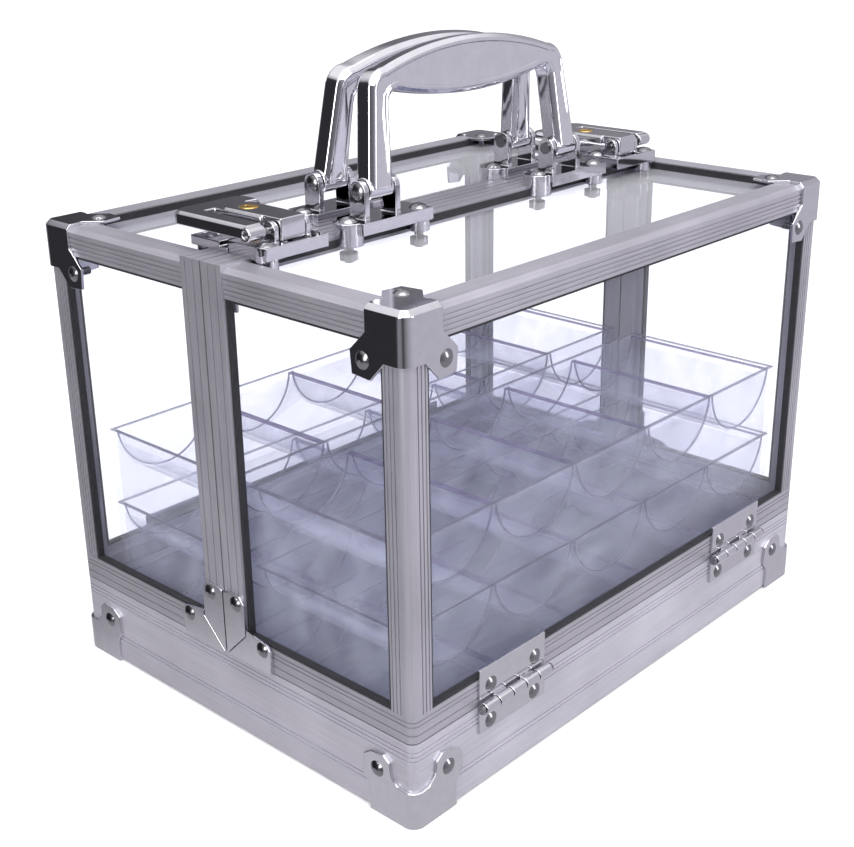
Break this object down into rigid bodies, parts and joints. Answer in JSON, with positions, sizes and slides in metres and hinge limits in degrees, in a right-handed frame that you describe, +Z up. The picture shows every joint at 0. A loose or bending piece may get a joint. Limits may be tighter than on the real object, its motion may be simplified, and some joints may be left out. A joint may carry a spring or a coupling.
{
  "type": "clear display carrier with chip racks",
  "caption": "Clear acrylic carrying case in an aluminium frame with two butterfly doors, folding twin handles, two keyed latches and stacked round-trough racks.",
  "frame": {"origin": "on the ground, under the middle of the case", "axes": "+X along the long side, +Y across the case from the front door to the back door, +Z up"},
  "size_m": [0.2278, 0.1748, 0.2187],
  "materials": {
    "aluminium_frame": "satin anodised extrusion with fine lines along its length",
    "clear_acrylic": "polished clear sheet",
    "tinted_acrylic": "clear moulding with a faint violet tint",
    "chrome_fittings": "bright chrome plate",
    "nickel_rivets": "nickel-plated steel, slightly dark",
    "brushed_straps": "zinc-plated strip",
    "black_gasket": "black extruded lining, matt",
    "floor_panel": "satin grey sheet",
    "brass_plug": "turned brass"
  },
  "bodies": {
    "base": {"base_front_rail": "aluminium_frame", "base_back_rail": "aluminium_frame", "base_end_rails": "aluminium_frame", "base_floor": "floor_panel", "base_corner_caps": "chrome_fittings", "base_rivets": "nickel_rivets", "hinge_lower_leaves": "chrome_fittings", "hinge_pins": "nickel_rivets"},
    "front_door": {"front_sill": "aluminium_frame", "front_end_sills": "aluminium_frame", "front_corner_posts": "aluminium_frame", "front_top_rail": "aluminium_frame", "front_end_top_rails": "aluminium_frame", "front_centre_posts": "aluminium_frame", "front_centre_strip": "aluminium_frame", "front_side_pane": "clear_acrylic", "front_top_pane": "clear_acrylic", "front_end_panes": "clear_acrylic", "front_gaskets": "black_gasket", "front_corner_brackets": "chrome_fittings", "front_tee_brackets": "chrome_fittings", "front_inner_straps": "brushed_straps", "front_rivets": "nickel_rivets", "front_hinge_leaves": "chrome_fittings", "front_handle_brackets": "chrome_fittings", "front_screws": "nickel_rivets", "front_pins": "nickel_rivets", "front_latch_bases": "chrome_fittings"},
    "back_door": {"back_sill": "aluminium_frame", "back_end_sills": "aluminium_frame", "back_corner_posts": "aluminium_frame", "back_top_rail": "aluminium_frame", "back_end_top_rails": "aluminium_frame", "back_centre_posts": "aluminium_frame", "back_centre_strip": "aluminium_frame", "back_side_pane": "clear_acrylic", "back_top_pane": "clear_acrylic", "back_end_panes": "clear_acrylic", "back_gaskets": "black_gasket", "back_corner_brackets": "chrome_fittings", "back_tee_brackets": "chrome_fittings", "back_inner_straps": "brushed_straps", "back_rivets": "nickel_rivets", "back_hinge_leaves": "chrome_fittings", "back_handle_brackets": "chrome_fittings", "back_screws": "nickel_rivets", "back_pins": "nickel_rivets", "back_latch_keepers": "chrome_fittings"},
    "front_grip": {"front_handle": "chrome_fittings"},
    "back_grip": {"back_handle": "chrome_fittings"},
    "left_lever": {"left_latch_lever": "chrome_fittings"},
    "left_key": {"left_key_plug": "brass_plug"},
    "right_lever": {"right_latch_lever": "chrome_fittings"},
    "right_key": {"right_key_plug": "brass_plug"},
    "front_lower_tray": {"front_lower_rack": "tinted_acrylic"},
    "front_middle_tray": {"front_middle_rack": "tinted_acrylic"},
    "front_upper_tray": {"front_upper_rack": "tinted_acrylic"},
    "back_lower_tray": {"back_lower_rack": "tinted_acrylic"},
    "back_middle_tray": {"back_middle_rack": "tinted_acrylic"},
    "back_upper_tray": {"back_upper_rack": "tinted_acrylic"}
  },
  "joints": [
    {"name": "front_door_hinge", "type": "hinge", "parent": "base", "child": "front_door", "pos_m": [0, -0.0854, 0.0296], "axis": [1, 0, 0], "range_deg": [0, 100]},
    {"name": "back_door_hinge", "type": "hinge", "parent": "base", "child": "back_door", "pos_m": [0, 0.0854, 0.0296], "axis": [-1, 0, 0], "range_deg": [0, 100]},
    {"name": "front_handle_pivot", "type": "hinge", "parent": "front_door", "child": "front_grip", "pos_m": [0, -0.0105, 0.1753], "axis": [1, 0, 0], "range_deg": [0, 108]},
    {"name": "back_handle_pivot", "type": "hinge", "parent": "back_door", "child": "back_grip", "pos_m": [0, 0.0105, 0.1753], "axis": [-1, 0, 0], "range_deg": [0, 108]},
    {"name": "left_latch_pivot", "type": "hinge", "parent": "front_door", "child": "left_lever", "pos_m": [-0.0864, -0.011, 0.1703], "axis": [1, 0, 0], "range_deg": [0, 136]},
    {"name": "left_key_turn", "type": "hinge", "parent": "left_lever", "child": "left_key", "pos_m": [-0.0864, 0.0062, 0.172], "axis": [0, 0, 1], "range_deg": [0, 90]},
    {"name": "right_latch_pivot", "type": "hinge", "parent": "front_door", "child": "right_lever", "pos_m": [0.0864, -0.011, 0.1703], "axis": [1, 0, 0], "range_deg": [0, 136]},
    {"name": "right_key_turn", "type": "hinge", "parent": "right_lever", "child": "right_key", "pos_m": [0.0864, 0.0062, 0.172], "axis": [0, 0, 1], "range_deg": [0, 90]},
    {"name": "front_lower_rack_lift", "type": "slide", "parent": "base", "child": "front_lower_tray", "axis": [0, 0, 1], "range_m": [0, 0.019]},
    {"name": "front_middle_rack_lift", "type": "slide", "parent": "front_lower_tray", "child": "front_middle_tray", "axis": [0, 0, 1], "range_m": [0, 0.019]},
    {"name": "front_upper_rack_lift", "type": "slide", "parent": "front_middle_tray", "child": "front_upper_tray", "axis": [0, 0, 1], "range_m": [0, 0.019]},
    {"name": "back_lower_rack_lift", "type": "slide", "parent": "base", "child": "back_lower_tray", "axis": [0, 0, 1], "range_m": [0, 0.019]},
    {"name": "back_middle_rack_lift", "type": "slide", "parent": "back_lower_tray", "child": "back_middle_tray", "axis": [0, 0, 1], "range_m": [0, 0.019]},
    {"name": "back_upper_rack_lift", "type": "slide", "parent": "back_middle_tray", "child": "back_upper_tray", "axis": [0, 0, 1], "range_m": [0, 0.019]}
  ],
  "couplings": [
    {"joint": "left_latch_pivot", "follows": "back_door_hinge", "ratio": 1.35},
    {"joint": "right_latch_pivot", "follows": "back_door_hinge", "ratio": 1.35}
  ]
}
